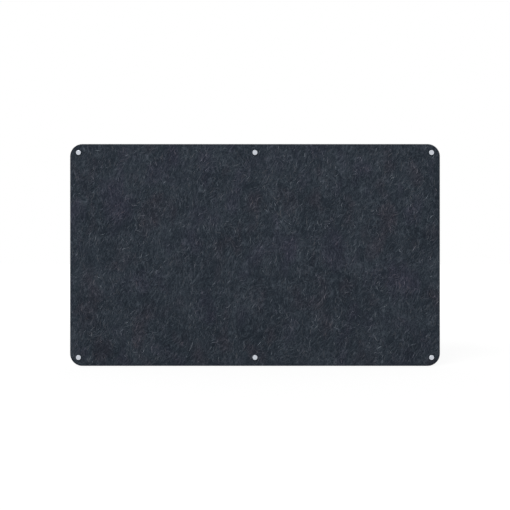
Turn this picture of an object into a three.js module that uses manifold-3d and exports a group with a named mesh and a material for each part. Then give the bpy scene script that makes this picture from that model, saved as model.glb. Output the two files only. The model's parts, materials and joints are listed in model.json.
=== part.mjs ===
// A felt pinboard for a wall: one rigid felt panel, clamped on six round stand-off fixings.
// Each fixing is a wall plug, a screw, a barrel, two rubber washers and a cap with a threaded stud.
// Millimetres. +X is to the right and +Z is up. The wall is the plane y = 0 and the board faces -Y.
// Every place across the board's depth is written as a distance out from the wall, towards the room.
import * as THREE from 'three';
import { mergeVertices } from 'three/addons/utils/BufferGeometryUtils.js';
import Module from 'manifold-3d';

const wasm = await Module();
wasm.setup();

// The felt panel
const PANEL_WIDTH = 1500;
const PANEL_HEIGHT = 900;
const PANEL_THICKNESS = 12;
const PANEL_CORNER_RADIUS = 50;
const PANEL_EDGE_SOFTENING = 1; // the cut edges of pressed felt are a little rounded
const PANEL_ARC_STEPS = 10;

// The fixings' centre lines, measured in from the panel's edges
const FIXING_INSET = 35;
// Columns and rows, as shares of the distance from the centre to the outermost centre line
const COLUMN_SHARES = { left: -1, middle: 0, right: 1 };
const ROW_SHARES = { top: 1, bottom: -1 };

// The barrel and the cap's head have one radius, so that they line up on both sides of the felt
const FIXING_RADIUS = 10;

// The cap: a flat round head on a stud that screws into the barrel
const CAP_HEAD_THICKNESS = 5;
const CAP_CHAMFER = 0.8;
const STUD_RADIUS = 5;
const STUD_CHAMFER = 1;
const STUD_NECK_RADIUS = 4.1; // the undercut between the thread and the head
const STUD_NECK_LENGTH = 2;
const STUD_END_CLEARANCE = 1.5; // between the stud's end and the screw's head
const STUD_CLEARANCE = 0.3; // in the barrel's bore and in the washers
const STUD_HOLE_CLEARANCE = 1; // in the hole through the felt

// The rubber washers on both faces of the felt
const WASHER_SETBACK = 0.5; // how far a washer's rim lies inside the fixing's
const WASHER_THICKNESS = 1;

// The barrel: a round post with a web near its foot, which the screw holds to the wall
const BARREL_LENGTH = 20;
const BARREL_CHAMFER = 0.5;
const BARREL_WEB_THICKNESS = 4;

// The screw through the web, with a pan head and a cross recess
const SCREW_RADIUS = 2.5;
const SCREW_LENGTH = 45; // under the head
const SCREW_TIP_LENGTH = 6;
const SCREW_TIP_FLAT_RADIUS = 0.3;
const SCREW_CLEARANCE = 0.3; // in the web
const SCREW_HEAD_RADIUS = 4.6;
const SCREW_HEAD_THICKNESS = 3.2;
const SCREW_HEAD_RIM = 1.4; // height of the straight rim under the crown
const SCREW_CROWN_STEPS = 4;
const RECESS_SLOT_WIDTH = 1.3;
const RECESS_SLOT_LENGTH = 4.6;
const RECESS_DEPTH = 1.8;

// The plug: a ribbed nylon sleeve, split along its far end, with a thin collar on the wall's face
const PLUG_RADIUS = 4;
const PLUG_RIB_HEIGHT = 0.5;
const PLUG_RIB_COUNT = 5;
const PLUG_LENGTH = 39; // from the wall's face inwards
const PLUG_PLAIN_LENGTH = 7; // the smooth stretch behind the collar
const PLUG_TIP_RADIUS = 3.1;
const PLUG_TIP_LENGTH = 4;
const PLUG_COLLAR_RADIUS = 5;
const PLUG_COLLAR_THICKNESS = 1;
const PLUG_BORE_CLEARANCE = 0.2; // around the screw
const PLUG_SLOT_WIDTH = 0.9;
const PLUG_SLOT_LENGTH = 24; // from the far end
const PLUG_COLLAR_CLEARANCE = 0.3; // between the collar and the barrel's foot

const ROUND_STEPS = 24; // sides of the turned pieces
const SMALL_ROUND_STEPS = 12; // sides of the screw and the plug
const CUT_OVERRUN = 0.5; // how far a cutter runs past what it cuts

// Distances out from the wall, each from the piece behind it
const WEB_BACK = PLUG_COLLAR_THICKNESS + PLUG_COLLAR_CLEARANCE;
const WEB_FRONT = WEB_BACK + BARREL_WEB_THICKNESS;
const REAR_WASHER_FRONT = BARREL_LENGTH + WASHER_THICKNESS;
const PANEL_FRONT = REAR_WASHER_FRONT + PANEL_THICKNESS;
const FRONT_WASHER_FRONT = PANEL_FRONT + WASHER_THICKNESS;
const CAP_FRONT = FRONT_WASHER_FRONT + CAP_HEAD_THICKNESS;
const STUD_TIP = WEB_FRONT + SCREW_HEAD_THICKNESS + STUD_END_CLEARANCE;

const PANEL_HOLE_RADIUS = STUD_RADIUS + STUD_HOLE_CLEARANCE;
const FIXING_REACH_X = PANEL_WIDTH / 2 - FIXING_INSET;
const FIXING_REACH_Z = PANEL_HEIGHT / 2 - FIXING_INSET;

const felt = new THREE.MeshStandardMaterial({ color: 0x2f343c, roughness: 0.95, metalness: 0 });
const anodised = new THREE.MeshStandardMaterial({ color: 0xc8cdd4, roughness: 0.35, metalness: 1 });
const rubber = new THREE.MeshStandardMaterial({ color: 0x17181a, roughness: 0.8, metalness: 0 });
const zincPlated = new THREE.MeshStandardMaterial({ color: 0xb7babd, roughness: 0.4, metalness: 1 });
const nylon = new THREE.MeshStandardMaterial({ color: 0x9a9da0, roughness: 0.6, metalness: 0 });

// A round solid about the fixing's centre line. The profile holds [radius, distance out from the wall]
// pairs and runs along the foot, up the outside and back: it closes on itself or ends on the axis.
function turned(profile, steps) {
  const points = profile.map(([radius, out]) => new THREE.Vector2(radius, -out));
  return new THREE.LatheGeometry(points.reverse(), steps);
}

// The same profile, closed by its own first point, for a piece with a hole through it
function turnedRing(profile, steps) {
  return turned([...profile, profile[0]], steps);
}

function toManifold(geometry) {
  const bare = geometry.clone();
  bare.deleteAttribute('normal');
  bare.deleteAttribute('uv');
  const merged = mergeVertices(bare);
  const corners = merged.index.array;
  const triangles = [];
  for (let first = 0; first < corners.length; first += 3) {
    const [a, b, c] = corners.slice(first, first + 3);
    // the slivers where a turned profile meets its axis have no area and are left out
    if (a !== b && b !== c && c !== a) triangles.push(a, b, c);
  }
  const mesh = new wasm.Mesh({
    numProp: merged.attributes.position.itemSize,
    vertProperties: new Float32Array(merged.attributes.position.array),
    triVerts: new Uint32Array(triangles),
  });
  return new wasm.Manifold(mesh);
}

function fromManifold(solid) {
  const mesh = solid.getMesh();
  const geometry = new THREE.BufferGeometry();
  geometry.setAttribute('position', new THREE.BufferAttribute(mesh.vertProperties, mesh.numProp));
  geometry.setIndex(new THREE.BufferAttribute(mesh.triVerts, 1));
  geometry.computeVertexNormals();
  return geometry;
}

// Two equal slots that cross on the centre line, each as wide, long and deep as asked,
// with their depth lying between two distances out from the wall
function crossedSlots(width, length, back, front) {
  const slot = new THREE.BoxGeometry(length, front - back, width);
  slot.translate(0, -(front + back) / 2, 0);
  const crossing = slot.clone().rotateY(Math.PI / 2);
  return toManifold(slot).add(toManifold(crossing));
}

function cutAway(geometry, cutter) {
  return fromManifold(toManifold(geometry).subtract(cutter));
}

// A rectangle with round corners, centred on the origin
function roundedRectangle(width, height, radius) {
  const right = width / 2 - radius;
  const top = height / 2 - radius;
  const quarter = Math.PI / 2;
  const shape = new THREE.Shape();
  shape.absarc(right, top, radius, 0, quarter);
  shape.absarc(-right, top, radius, quarter, Math.PI);
  shape.absarc(-right, -top, radius, Math.PI, Math.PI + quarter);
  shape.absarc(right, -top, radius, Math.PI + quarter, Math.PI + Math.PI);
  shape.closePath();
  return shape;
}

function circularHole(x, z, radius) {
  const hole = new THREE.Path();
  hole.absarc(x, z, radius, 0, Math.PI + Math.PI);
  return hole;
}

// The panel: its outline and the six stud holes, carried through its thickness, with softened edges
function panelGeometry(fixings) {
  const outline = roundedRectangle(PANEL_WIDTH, PANEL_HEIGHT, PANEL_CORNER_RADIUS);
  outline.holes = fixings.map(({ x, z }) => circularHole(x, z, PANEL_HOLE_RADIUS));
  const geometry = new THREE.ExtrudeGeometry(outline, {
    depth: PANEL_THICKNESS - PANEL_EDGE_SOFTENING - PANEL_EDGE_SOFTENING,
    bevelThickness: PANEL_EDGE_SOFTENING,
    bevelSize: PANEL_EDGE_SOFTENING,
    bevelOffset: -PANEL_EDGE_SOFTENING,
    bevelSegments: 1,
    curveSegments: PANEL_ARC_STEPS,
  });
  geometry.translate(0, 0, REAR_WASHER_FRONT + PANEL_EDGE_SOFTENING);
  // the drawing's up becomes the board's up, and its depth runs out from the wall
  const right = new THREE.Vector3(1, 0, 0);
  const up = new THREE.Vector3(0, 0, 1);
  const outFromWall = new THREE.Vector3(0, -1, 0);
  return geometry.applyMatrix4(new THREE.Matrix4().makeBasis(right, up, outFromWall));
}

function barrelGeometry() {
  const footRecess = PLUG_COLLAR_RADIUS + PLUG_COLLAR_CLEARANCE;
  const screwHole = SCREW_RADIUS + SCREW_CLEARANCE;
  const bore = STUD_RADIUS + STUD_CLEARANCE;
  return turnedRing([
    [footRecess, 0],
    [FIXING_RADIUS - BARREL_CHAMFER, 0],
    [FIXING_RADIUS, BARREL_CHAMFER],
    [FIXING_RADIUS, BARREL_LENGTH - BARREL_CHAMFER],
    [FIXING_RADIUS - BARREL_CHAMFER, BARREL_LENGTH],
    [bore + BARREL_CHAMFER, BARREL_LENGTH],
    [bore, BARREL_LENGTH - BARREL_CHAMFER],
    [bore, WEB_FRONT],
    [screwHole, WEB_FRONT],
    [screwHole, WEB_BACK],
    [footRecess, WEB_BACK],
  ], ROUND_STEPS);
}

function washerGeometry(back) {
  const hole = STUD_RADIUS + STUD_CLEARANCE;
  const rim = FIXING_RADIUS - WASHER_SETBACK;
  const front = back + WASHER_THICKNESS;
  return turnedRing([
    [hole, back],
    [rim, back],
    [rim, front],
    [hole, front],
  ], ROUND_STEPS);
}

function capGeometry() {
  const neckBack = FRONT_WASHER_FRONT - STUD_NECK_LENGTH;
  const neckSlope = STUD_RADIUS - STUD_NECK_RADIUS;
  return turned([
    [0, STUD_TIP],
    [STUD_RADIUS - STUD_CHAMFER, STUD_TIP],
    [STUD_RADIUS, STUD_TIP + STUD_CHAMFER],
    [STUD_RADIUS, neckBack - neckSlope],
    [STUD_NECK_RADIUS, neckBack],
    [STUD_NECK_RADIUS, FRONT_WASHER_FRONT],
    [FIXING_RADIUS, FRONT_WASHER_FRONT],
    [FIXING_RADIUS, CAP_FRONT - CAP_CHAMFER],
    [FIXING_RADIUS - CAP_CHAMFER, CAP_FRONT],
    [0, CAP_FRONT],
  ], ROUND_STEPS);
}

// The crown is a quarter of an ellipse from the rim's edge to the axis
function screwGeometry() {
  const tip = WEB_FRONT - SCREW_LENGTH;
  const crownHeight = SCREW_HEAD_THICKNESS - SCREW_HEAD_RIM;
  const crown = [];
  for (let step = 0; step <= SCREW_CROWN_STEPS; step += 1) {
    const angle = (step / SCREW_CROWN_STEPS) * (Math.PI / 2);
    const radius = step < SCREW_CROWN_STEPS ? SCREW_HEAD_RADIUS * Math.cos(angle) : 0;
    crown.push([radius, WEB_FRONT + SCREW_HEAD_RIM + crownHeight * Math.sin(angle)]);
  }
  const screw = turned([
    [0, tip],
    [SCREW_TIP_FLAT_RADIUS, tip],
    [SCREW_RADIUS, tip + SCREW_TIP_LENGTH],
    [SCREW_RADIUS, WEB_FRONT],
    [SCREW_HEAD_RADIUS, WEB_FRONT],
    ...crown,
  ], SMALL_ROUND_STEPS);
  const headFront = WEB_FRONT + SCREW_HEAD_THICKNESS;
  const recess = crossedSlots(
    RECESS_SLOT_WIDTH, RECESS_SLOT_LENGTH, headFront - RECESS_DEPTH, headFront + CUT_OVERRUN,
  );
  return cutAway(screw, recess);
}

// Each rib rises from the sleeve like a barb and drops back square, so the plug can't be pulled out
function plugGeometry() {
  const bore = SCREW_RADIUS + PLUG_BORE_CLEARANCE;
  const end = -PLUG_LENGTH;
  const ribsStart = end + PLUG_TIP_LENGTH;
  const ribPitch = (-PLUG_PLAIN_LENGTH - ribsStart) / PLUG_RIB_COUNT;
  const root = PLUG_RADIUS - PLUG_RIB_HEIGHT;
  const ribs = [];
  for (let rib = 0; rib < PLUG_RIB_COUNT; rib += 1) {
    const crest = ribsStart + ribPitch * (rib + 1);
    ribs.push([root, crest - ribPitch], [PLUG_RADIUS, crest]);
  }
  const sleeve = turnedRing([
    [bore, end],
    [PLUG_TIP_RADIUS, end],
    ...ribs,
    [root, -PLUG_PLAIN_LENGTH],
    [PLUG_RADIUS, -PLUG_PLAIN_LENGTH + PLUG_RIB_HEIGHT],
    [PLUG_RADIUS, 0],
    [PLUG_COLLAR_RADIUS, 0],
    [PLUG_COLLAR_RADIUS, PLUG_COLLAR_THICKNESS],
    [bore, PLUG_COLLAR_THICKNESS],
  ], SMALL_ROUND_STEPS);
  const across = PLUG_RADIUS + PLUG_RADIUS + CUT_OVERRUN;
  const slots = crossedSlots(PLUG_SLOT_WIDTH, across, end - CUT_OVERRUN, end + PLUG_SLOT_LENGTH);
  return cutAway(sleeve, slots);
}

// The six fixings, named as seen from the front
const fixings = [];
for (const [row, rowShare] of Object.entries(ROW_SHARES)) {
  for (const [column, columnShare] of Object.entries(COLUMN_SHARES)) {
    fixings.push({
      name: `${row}_${column}`,
      x: columnShare * FIXING_REACH_X,
      z: rowShare * FIXING_REACH_Z,
    });
  }
}

// What every fixing is made of, from the wall outwards
const fixingPieces = [
  { name: 'wall_plug', geometry: plugGeometry(), material: nylon },
  { name: 'wall_screw', geometry: screwGeometry(), material: zincPlated },
  { name: 'standoff_barrel', geometry: barrelGeometry(), material: anodised },
  { name: 'rear_washer', geometry: washerGeometry(BARREL_LENGTH), material: rubber },
  { name: 'front_washer', geometry: washerGeometry(PANEL_FRONT), material: rubber },
  { name: 'cap', geometry: capGeometry(), material: anodised },
];

const pinboard = new THREE.Group();
const panel = new THREE.Mesh(panelGeometry(fixings), felt);
panel.name = 'felt_panel';
pinboard.add(panel);

for (const fixing of fixings) {
  const group = new THREE.Group();
  group.position.set(fixing.x, 0, fixing.z);
  for (const piece of fixingPieces) {
    const mesh = new THREE.Mesh(piece.geometry, piece.material);
    mesh.name = `${piece.name}_${fixing.name}`;
    group.add(mesh);
  }
  pinboard.add(group);
}

export default pinboard;
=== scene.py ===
"""The looks of a rigid felt pinboard that hangs on six round stand-off fixings.

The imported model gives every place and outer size. The felt panel, the loose fibres on its faces, and the
turned, threaded and moulded pieces of the fixings are new meshes, worked out with numpy as whole arrays.
Metres. +X is to the right and +Z is up. The wall is the plane y = 0 and the board faces -Y. Distances
across the board's depth are written as distances out from the wall, so they are -y.
"""

import json
import logging
import math
from collections.abc import Callable
from dataclasses import dataclass, field, replace
from enum import Enum
from functools import partial

import bpy
import numpy as np
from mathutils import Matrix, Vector

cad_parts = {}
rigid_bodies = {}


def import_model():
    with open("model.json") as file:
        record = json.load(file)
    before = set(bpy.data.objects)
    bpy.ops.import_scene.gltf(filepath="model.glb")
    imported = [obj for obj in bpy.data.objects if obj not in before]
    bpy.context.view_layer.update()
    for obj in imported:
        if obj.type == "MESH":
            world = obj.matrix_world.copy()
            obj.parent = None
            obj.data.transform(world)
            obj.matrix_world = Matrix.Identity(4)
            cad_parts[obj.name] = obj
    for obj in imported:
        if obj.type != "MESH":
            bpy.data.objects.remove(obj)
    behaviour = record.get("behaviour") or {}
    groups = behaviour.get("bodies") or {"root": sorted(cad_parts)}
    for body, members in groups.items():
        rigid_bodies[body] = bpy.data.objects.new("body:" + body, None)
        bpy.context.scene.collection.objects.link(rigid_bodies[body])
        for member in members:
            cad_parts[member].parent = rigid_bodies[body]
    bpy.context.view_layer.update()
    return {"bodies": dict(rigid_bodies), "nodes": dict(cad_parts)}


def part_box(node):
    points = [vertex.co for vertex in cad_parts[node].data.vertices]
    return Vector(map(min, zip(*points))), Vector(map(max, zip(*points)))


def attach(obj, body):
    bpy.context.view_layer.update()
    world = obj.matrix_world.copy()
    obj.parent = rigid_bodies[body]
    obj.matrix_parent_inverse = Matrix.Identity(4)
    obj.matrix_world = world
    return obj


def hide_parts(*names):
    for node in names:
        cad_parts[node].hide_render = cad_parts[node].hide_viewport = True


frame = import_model()

MM = 0.001
TURN = 2 * math.pi
BOARD_BODY = "board"
FELT_NODE = "felt_panel"
WHITE = "ffffff"

# Attributes that the meshes carry and the materials read
FIBRE_COLOUR = "fibre_colour"
PROFILE_LENGTH = "profile_length"
CUT_EDGE = "cut_edge"

# Sockets of the colour Mix node, whose names repeat
MIX_FIRST, MIX_SECOND, MIX_RESULT = 6, 7, 2

# A noise's middle value, and the values that nearly all of it lies between
NOISE_MIDDLE = 0.5
NOISE_RANGE = {"From Min": 0.3, "From Max": 0.7}

# Two places on a profile that are no further apart than this are the same
TOUCH = 1e-9

# Sizes that several pieces of a fixing share
STUD_RADIUS = 5 * MM
BORE_RADIUS = STUD_RADIUS + 0.3 * MM

Tree = bpy.types.NodeTree
Node = bpy.types.Node
Source = Node | bpy.types.NodeSocket
Parts = dict[str | int, object]
Material = bpy.types.Material
Cut = Callable[[np.ndarray, np.ndarray, np.ndarray], np.ndarray]

log = logging.getLogger("pinboard")


class Side(Enum):
    """The two broad faces of the felt, by the way each one points along Y."""

    FRONT = -1
    BACK = 1


class Slot(Enum):
    """The record's material slots."""

    FELT = "felt"
    ALUMINIUM = "anodised_aluminium"
    RUBBER = "rubber"
    STEEL = "zinc_plated_steel"
    NYLON = "nylon"


def linear(code: str) -> tuple[float, float, float, float]:
    """Returns the linear red, green and blue, and an alpha of 1, of an sRGB hex colour like 30363d."""
    shares = [int(code[i:i + 2], 16) / 255 for i in (0, 2, 4)]
    return (*[s / 12.92 if s <= 0.04045 else ((s + 0.055) / 1.055) ** 2.4 for s in shares], 1.0)


def add_node(tree: Tree, kind: str, parts: Parts | None = None) -> Node:
    """Adds one node with its settings and links.

    Args:
        tree: The node tree that gets it.
        kind: Its type after the words ShaderNode, such as "Bump".
        parts: What each input gets, by name or number: a constant, or a link from a socket or from a
            node's first output. A name that no input has is a setting of the node's own.

    Returns:
        The new node.
    """
    node = tree.nodes.new(f"ShaderNode{kind}")
    for name, part in (parts or {}).items():
        if isinstance(part, Source):
            tree.links.new(part.outputs[0] if isinstance(part, Node) else part, node.inputs[name])
        elif isinstance(name, int) or name in node.inputs:
            node.inputs[name].default_value = part
        else:
            setattr(node, name, part)
    return node


def emptied_tree(owner: Material | bpy.types.World) -> Tree:
    """Turns on an owner's nodes and takes away those that it starts with.

    Args:
        owner: A new material or world.

    Returns:
        Its node tree, empty.
    """
    owner.use_nodes = True
    owner.node_tree.nodes.clear()
    return owner.node_tree


def weighted_sum(tree: Tree, parts: list[tuple[float, Source]], start: float) -> Source:
    """Adds up values in a material: the start plus each value times its weight.

    Args:
        tree: The material's nodes.
        parts: A weight and a value for each part.
        start: What the sum starts from.

    Returns:
        The sum.
    """
    total = start
    for weight, value in parts:
        total = add_node(tree, "Math", {"operation": "MULTIPLY_ADD", 0: value, 1: weight, 2: total})
    return total


@dataclass
class Shape:
    """A surface under construction.

    Attributes:
        points: One row of x, y, z for each point.
        faces: Arrays of point numbers, with a row for each face and a column for each of its corners.
        values: Named values, with one number or one linear colour for each point.
        smooth: True where the faces are shaded as one curved surface.
    """

    points: np.ndarray
    faces: list[np.ndarray]
    values: dict[str, np.ndarray] = field(default_factory=dict)
    smooth: bool = True

    def faced_outwards(self) -> "Shape":
        """Turns every face round if the shape is inside out, which is when the triple products of all its
        triangles' corners add up to less than nothing.

        Returns:
            The shape itself.
        """
        blocks = [self.points[block] for block in self.faces]
        if sum((at[:, :1] * np.cross(at[:, 1:-1], at[:, 2:])).sum() for at in blocks) < 0:
            self.faces = [block[:, ::-1] for block in self.faces]
        return self

    def without_loose_points(self) -> "Shape":
        """Leaves out the points that no face uses.

        Returns:
            A new shape.
        """
        used = np.unique(np.concatenate([block.ravel() for block in self.faces]))
        place = np.zeros(len(self.points), int)
        place[used] = np.arange(len(used))
        faces = [place[block] for block in self.faces]
        values = {name: rows[used] for name, rows in self.values.items()}
        return replace(self, points=self.points[used], faces=faces, values=values)

    def mesh(self, name: str) -> bpy.types.Mesh:
        """Writes the shape into a new mesh.

        Args:
            name: The mesh's name.

        Returns:
            The mesh.
        """
        corners = np.concatenate([block.ravel() for block in self.faces])
        counts = np.concatenate([np.full(len(block), block.shape[1]) for block in self.faces])
        starts = np.cumsum(counts) - counts
        mesh = bpy.data.meshes.new(name)
        mesh.vertices.add(len(self.points))
        mesh.vertices.foreach_set("co", self.points.astype(np.float32).ravel())
        mesh.loops.add(len(corners))
        mesh.loops.foreach_set("vertex_index", corners.astype(np.int32))
        mesh.polygons.add(len(counts))
        mesh.polygons.foreach_set("loop_start", starts.astype(np.int32))
        mesh.polygons.foreach_set("use_smooth", np.full(len(counts), self.smooth))
        mesh.update(calc_edges=True)
        for label, rows in self.values.items():
            kind, part = ("FLOAT", "value") if rows.ndim == 1 else ("FLOAT_COLOR", "color")
            layer = mesh.attributes.new(label, kind, "POINT")
            layer.data.foreach_set(part, rows.astype(np.float32).ravel())
        mesh.validate()
        return mesh


def add_piece(name: str, shape: Shape, material: Material, body: str,
              stands_for: str | None = None) -> None:
    """Makes a visible piece of the object out of a shape.

    Args:
        name: The piece's name.
        shape: Its surface, already in place.
        material: Its material.
        body: The moving body that it rides on.
        stands_for: The plain solid that it replaces, if any.
    """
    piece = bpy.data.objects.new(name, shape.mesh(name))
    bpy.context.scene.collection.objects.link(piece)
    piece.data.materials.append(material)
    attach(piece, body)
    if stands_for:
        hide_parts(stands_for)
    log.info("%s: %d points", name, len(piece.data.vertices))


def unit(rows: np.ndarray) -> np.ndarray:
    """Returns each row scaled to a length of 1."""
    return rows / np.linalg.norm(rows, axis=-1, keepdims=True)


def towards(angle: np.ndarray) -> np.ndarray:
    """Returns the x and z of directions of length 1, by their angles anticlockwise from +X."""
    return np.stack([np.cos(angle), np.sin(angle)], -1)


def placed(places: np.ndarray, out: np.ndarray | float) -> np.ndarray:
    """Returns points with these x and z, this far out from the wall."""
    return np.stack([places[..., 0], np.broadcast_to(-out, places.shape[:-1]), places[..., 1]], -1)


def around(centre: np.ndarray, radius: np.ndarray, angle: np.ndarray, out: np.ndarray) -> np.ndarray:
    """Returns points round a centre line, with a row for each radius and distance out."""
    return placed(centre + radius[..., None] * towards(angle), out)


def smooth_step(value: np.ndarray) -> np.ndarray:
    """Returns 3s^2 - 2s^3 of the value held between 0 and 1: a ramp that is level at both ends."""
    held = np.clip(value, 0, 1)
    return held * held * (3 - 2 * held)


def numbered(points: np.ndarray, first: int = 0) -> np.ndarray:
    """Returns the numbers of a grid of points, counted row by row from the first number."""
    return first + np.arange(points[..., 0].size).reshape(points.shape[:-1])


def bands(rings: np.ndarray) -> np.ndarray:
    """Returns four-sided faces that join each closed ring to the next: near, next near, next far, far."""
    near, far = rings[:-1], rings[1:]
    return np.stack([near, np.roll(near, -1, 1), np.roll(far, -1, 1), far], -1).reshape(-1, 4)


def fan(ring: np.ndarray, tip: int) -> np.ndarray:
    """Returns three-sided faces that join a closed ring of points to one point: here, next, tip."""
    return np.stack([ring, np.roll(ring, -1), np.full(len(ring), tip)], 1)


def block_edge(numbers: np.ndarray) -> np.ndarray:
    """Returns the edge of a block of grid points, anticlockwise from the start of its first row."""
    return np.concatenate([numbers[0, :-1], numbers[:-1, -1], numbers[-1, :0:-1], numbers[:0:-1, 0]])


@dataclass(frozen=True)
class NodeSpan:
    """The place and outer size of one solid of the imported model.

    Attributes:
        centre: The x and z of its middle.
        half: Half its width and half its height.
        back: How far out from the wall it starts.
        front: How far out it ends.
    """

    centre: np.ndarray
    half: np.ndarray
    back: float
    front: float

    @property
    def radius(self) -> float:
        """The outer radius, where the solid is a turned one."""
        return self.half[0]

    @classmethod
    def of(cls, node: str) -> "NodeSpan":
        """Reads a node's box.

        Args:
            node: The node's name.

        Returns:
            Its place and outer size.
        """
        low, high = [np.array(corner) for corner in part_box(node)]
        middle, half = (low + high) / 2, (high - low) / 2
        return cls(middle[[0, 2]], half[[0, 2]], -high[1], -low[1])


@dataclass(frozen=True)
class Undulation:
    """A smooth random field: the sum of cosine waves with random directions, lengths and phases.

    Attributes:
        seed: Fixes the waves.
        shortest: The shortest wavelength.
        longest: The longest.
        waves: How many there are.
    """

    seed: int
    shortest: float
    longest: float
    waves: int = 28

    def at(self, places: np.ndarray) -> np.ndarray:
        """Adds up the waves.

        Args:
            places: Rows of x and z.

        Returns:
            The field there: about 0 on average, with a spread of about 1.
        """
        draw = np.random.default_rng(self.seed)
        heading = draw.uniform(0, TURN, self.waves)
        number = TURN / draw.uniform(self.shortest, self.longest, self.waves)
        phase = draw.uniform(0, TURN, self.waves)
        along = places @ (towards(heading).T * number)
        return np.cos(along + phase).sum(-1) * math.sqrt(2 / self.waves)


@dataclass(frozen=True)
class FeltSurface:
    """Where the felt's two faces lie. Needled felt stands a little proud of its nominal thickness, rises
    and falls gently, and is pressed flat where a washer clamps it and along its cut edges.

    Attributes:
        span: The place and outer size of the felt's node.
        fixings: The x and z of each fixing.
        corner: The radius of the board's corners.
        pressed: The radius that a washer presses flat.
        slope: How far out the felt takes to rise from there to its full loft.
        edge_slope: The same, in from the cut edge.
        loft: How far the felt stands proud on average.
        rise: The spread of its undulation.
        swell: The undulation's shortest and longest wavelength.
        seed: Fixes the undulation, less 1 for the front and plus 1 for the back.
    """

    span: NodeSpan
    fixings: np.ndarray
    corner: float = 50 * MM
    pressed: float = 10.4 * MM
    slope: float = 7 * MM
    edge_slope: float = 9 * MM
    loft: float = 0.35 * MM
    rise: float = 0.12 * MM
    swell: tuple[float, float] = (55 * MM, 240 * MM)
    seed: int = 5

    @property
    def core(self) -> np.ndarray:
        """The x and z of the centre of the upper right corner's round."""
        return self.span.half - self.corner

    def inside(self, places: np.ndarray) -> np.ndarray:
        """Measures how far places lie inside the rounded outline: the corner radius less the signed
        distance to a rectangle that is smaller by that radius all round.

        Args:
            places: Rows of x and z.

        Returns:
            The distances, negative outside.
        """
        over = np.abs(places) - self.core
        outside = np.linalg.norm(np.maximum(over, 0), axis=-1)
        return self.corner - outside - np.minimum(over.max(-1), 0)

    def from_fixing(self, places: np.ndarray) -> np.ndarray:
        """Returns each place's distance to the centre line of the nearest fixing."""
        return np.linalg.norm(places[..., None, :] - self.fixings, axis=-1).min(-1)

    def out(self, places: np.ndarray, side: Side) -> np.ndarray:
        """Works out how far out from the wall a face lies. It stands proud of its nominal place by the
        loft plus the undulation, times a ramp from the washers and a ramp from the cut edge.

        Args:
            places: Rows of x and z.
            side: Which face, because the two undulate apart.

        Returns:
            The distances.
        """
        waves = Undulation(self.seed + side.value, *self.swell).at(places)
        free = smooth_step((self.from_fixing(places) - self.pressed) / self.slope)
        free = free * smooth_step(self.inside(places) / self.edge_slope)
        proud = free * np.maximum(self.loft + self.rise * waves, 0)
        return self.span.front + proud if side is Side.FRONT else self.span.back - proud


@dataclass(frozen=True)
class Finish:
    """What all finishes share: one shader, fed by patterns whose scales are real sizes.

    Attributes:
        name: The material's name.
    """

    name: str

    def surface(self, tree: Tree, place: Source) -> Parts:
        """Adds the finish's own patterns, and returns what the shader's inputs get."""
        raise NotImplementedError

    def material(self) -> Material:
        """Builds the material.

        Returns:
            A material with the finish's patterns on one shader.
        """
        made = bpy.data.materials.new(self.name)
        tree = emptied_tree(made)
        place = add_node(tree, "TexCoord").outputs["Object"]
        shader = add_node(tree, "BsdfPrincipled", self.surface(tree, place))
        add_node(tree, "OutputMaterial", {"Surface": shader})
        return made


@dataclass(frozen=True)
class PatchyCast:
    """The faint cast that felt made of mixed fibre has: patches that lean to mauve, and a few to brown.

    Attributes:
        size: Size of a patch along each axis.
        tints: What the colour is multiplied by, from the brownest patch to the most mauve.
        stops: The values of the noise at which each tint is reached.
    """

    size: tuple[float, float, float] = (100 * MM, 100 * MM, 160 * MM)
    tints: tuple[str, ...] = ("f2e5e8", "e7e9eb", "e7e9eb", "f1e5f1")
    stops: tuple[float, ...] = (0.30, 0.44, 0.53, 0.72)

    def over(self, tree: Tree, place: Source, colour: Source) -> Source:
        """Multiplies a colour by the cast.

        Args:
            tree: The material's nodes.
            place: The coordinates.
            colour: What the cast goes over.

        Returns:
            The colour with the cast.
        """
        laid = add_node(tree, "Mapping", {"vector_type": "TEXTURE", "Scale": self.size, "Vector": place})
        hue = add_node(tree, "TexNoise", {"Scale": 1.0, "Detail": 2.0, "Vector": laid})
        ramp = add_node(tree, "ValToRGB", {"Fac": hue})
        elements = ramp.color_ramp.elements
        while len(elements) < len(self.stops):
            elements.new(self.stops[-1])
        for element, stop, tint in zip(elements, self.stops, self.tints):
            element.position = stop
            element.color = linear(tint)
        return add_node(tree, "VectorMath", {"operation": "MULTIPLY", 0: colour, 1: ramp})


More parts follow.
